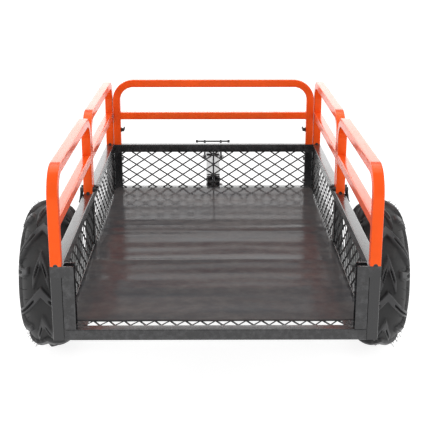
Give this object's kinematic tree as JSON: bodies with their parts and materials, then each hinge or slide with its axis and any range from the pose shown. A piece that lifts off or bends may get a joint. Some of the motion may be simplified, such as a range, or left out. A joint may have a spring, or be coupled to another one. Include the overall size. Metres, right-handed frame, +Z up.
{
  "type": "tow behind cart",
  "caption": "Tow-behind mesh cart: a tilting steel tube bed with expanded-metal walls and lift-off guard rails on a two-wheel undercarriage with a drawbar.",
  "frame": {"origin": "on the ground, at the middle of the whole cart's length and width", "axes": "+Y is the towing direction, from the bed to the drawbar's end; +Z is up; +X is to the right"},
  "size_m": [1.216, 2.211, 0.77],
  "materials": {
    "black_powder_coat": "semi-gloss black powder coat",
    "black_mesh_coat": "black powder coat on expanded steel",
    "orange_powder_coat": "gloss orange powder coat",
    "mat_rubber": "smooth dark grey rubber sheet with soft creases",
    "tyre": "dark tread rubber",
    "black_rubber": "black rubber",
    "grip_rubber": "plain black rubber",
    "rim_paint": "light grey paint",
    "zinc_steel": "zinc plated steel",
    "black_plastic": "moulded black plastic"
  },
  "bodies": {
    "undercarriage": {"drawbar": "black_powder_coat", "axle_beam": "black_powder_coat", "axle_shaft": "zinc_steel", "axle_spacers": "zinc_steel", "axle_washers": "zinc_steel", "cotter_pins": "zinc_steel", "axle_saddle": "black_powder_coat", "u_bolts": "zinc_steel", "u_bolt_nuts": "zinc_steel", "bed_rests": "black_powder_coat", "rest_pads": "black_rubber", "hitch_clevis": "black_powder_coat", "latch_bracket": "black_powder_coat", "latch_pin": "zinc_steel", "latch_spring": "zinc_steel", "handle_bolt": "zinc_steel"},
    "bed": {"side_frame_left": "black_powder_coat", "side_frame_right": "black_powder_coat", "front_frame": "black_powder_coat", "floor_frame": "black_powder_coat", "side_mesh_left": "black_mesh_coat", "side_mesh_right": "black_mesh_coat", "front_mesh": "black_mesh_coat", "floor_mesh": "black_mesh_coat", "floor_mat": "mat_rubber", "tailgate_channel_left": "black_powder_coat", "tailgate_channel_right": "black_powder_coat", "corner_gussets": "black_powder_coat", "rail_spigots": "black_powder_coat", "front_stay_rod": "black_powder_coat", "panel_bolts": "zinc_steel", "hinge_lugs": "black_powder_coat", "pivot_bolt": "zinc_steel", "latch_striker": "black_powder_coat"},
    "latch": {"latch_lever": "black_powder_coat"},
    "pull_handle": {"handle_loop": "black_powder_coat", "handle_end_caps": "grip_rubber"},
    "wheel_left": {"tyre_left": "tyre", "rim_left": "rim_paint", "hub_left": "zinc_steel", "bearings_left": "zinc_steel", "valve_stem_left": "black_rubber", "hub_cap_left": "black_plastic"},
    "wheel_right": {"tyre_right": "tyre", "rim_right": "rim_paint", "hub_right": "zinc_steel", "bearings_right": "zinc_steel", "valve_stem_right": "black_rubber", "hub_cap_right": "black_plastic"},
    "rail_front": {"front_rail": "orange_powder_coat", "front_rail_wing_screws": "black_powder_coat"},
    "rail_left_rear": {"left_rear_rail": "orange_powder_coat", "left_rear_rail_clamps": "black_powder_coat"},
    "rail_left_front": {"left_front_rail": "orange_powder_coat", "left_front_rail_clamps": "black_powder_coat"},
    "rail_right_rear": {"right_rear_rail": "orange_powder_coat", "right_rear_rail_clamps": "black_powder_coat"},
    "rail_right_front": {"right_front_rail": "orange_powder_coat", "right_front_rail_clamps": "black_powder_coat"}
  },
  "joints": [
    {"name": "bed_tilt", "type": "hinge", "parent": "undercarriage", "child": "bed", "pos_m": [0, -0.5555, 0.298], "axis": [1, 0, 0], "range_deg": [0, 30]},
    {"name": "wheel_left_spin", "type": "hinge", "parent": "undercarriage", "child": "wheel_left", "pos_m": [-0.53, -0.4055, 0.241], "axis": [1, 0, 0], "continuous": true},
    {"name": "wheel_right_spin", "type": "hinge", "parent": "undercarriage", "child": "wheel_right", "pos_m": [0.53, -0.4055, 0.241], "axis": [1, 0, 0], "continuous": true},
    {"name": "latch_turn", "type": "hinge", "parent": "undercarriage", "child": "latch", "pos_m": [0, 0.3545, 0.334], "axis": [1, 0, 0], "range_deg": [0, 20]},
    {"name": "handle_fold", "type": "hinge", "parent": "undercarriage", "child": "pull_handle", "pos_m": [0, 0.9745, 0.298], "axis": [1, 0, 0], "range_deg": [-50, 144]},
    {"name": "front_rail_lift", "type": "slide", "parent": "bed", "child": "rail_front", "axis": [0, 0, 1], "range_m": [0, 0.1]},
    {"name": "left_rear_rail_lift", "type": "slide", "parent": "bed", "child": "rail_left_rear", "axis": [0, 0, 1], "range_m": [0, 0.1]},
    {"name": "left_front_rail_lift", "type": "slide", "parent": "bed", "child": "rail_left_front", "axis": [0, 0, 1], "range_m": [0, 0.1]},
    {"name": "right_rear_rail_lift", "type": "slide", "parent": "bed", "child": "rail_right_rear", "axis": [0, 0, 1], "range_m": [0, 0.1]},
    {"name": "right_front_rail_lift", "type": "slide", "parent": "bed", "child": "rail_right_front", "axis": [0, 0, 1], "range_m": [0, 0.1]}
  ]
}
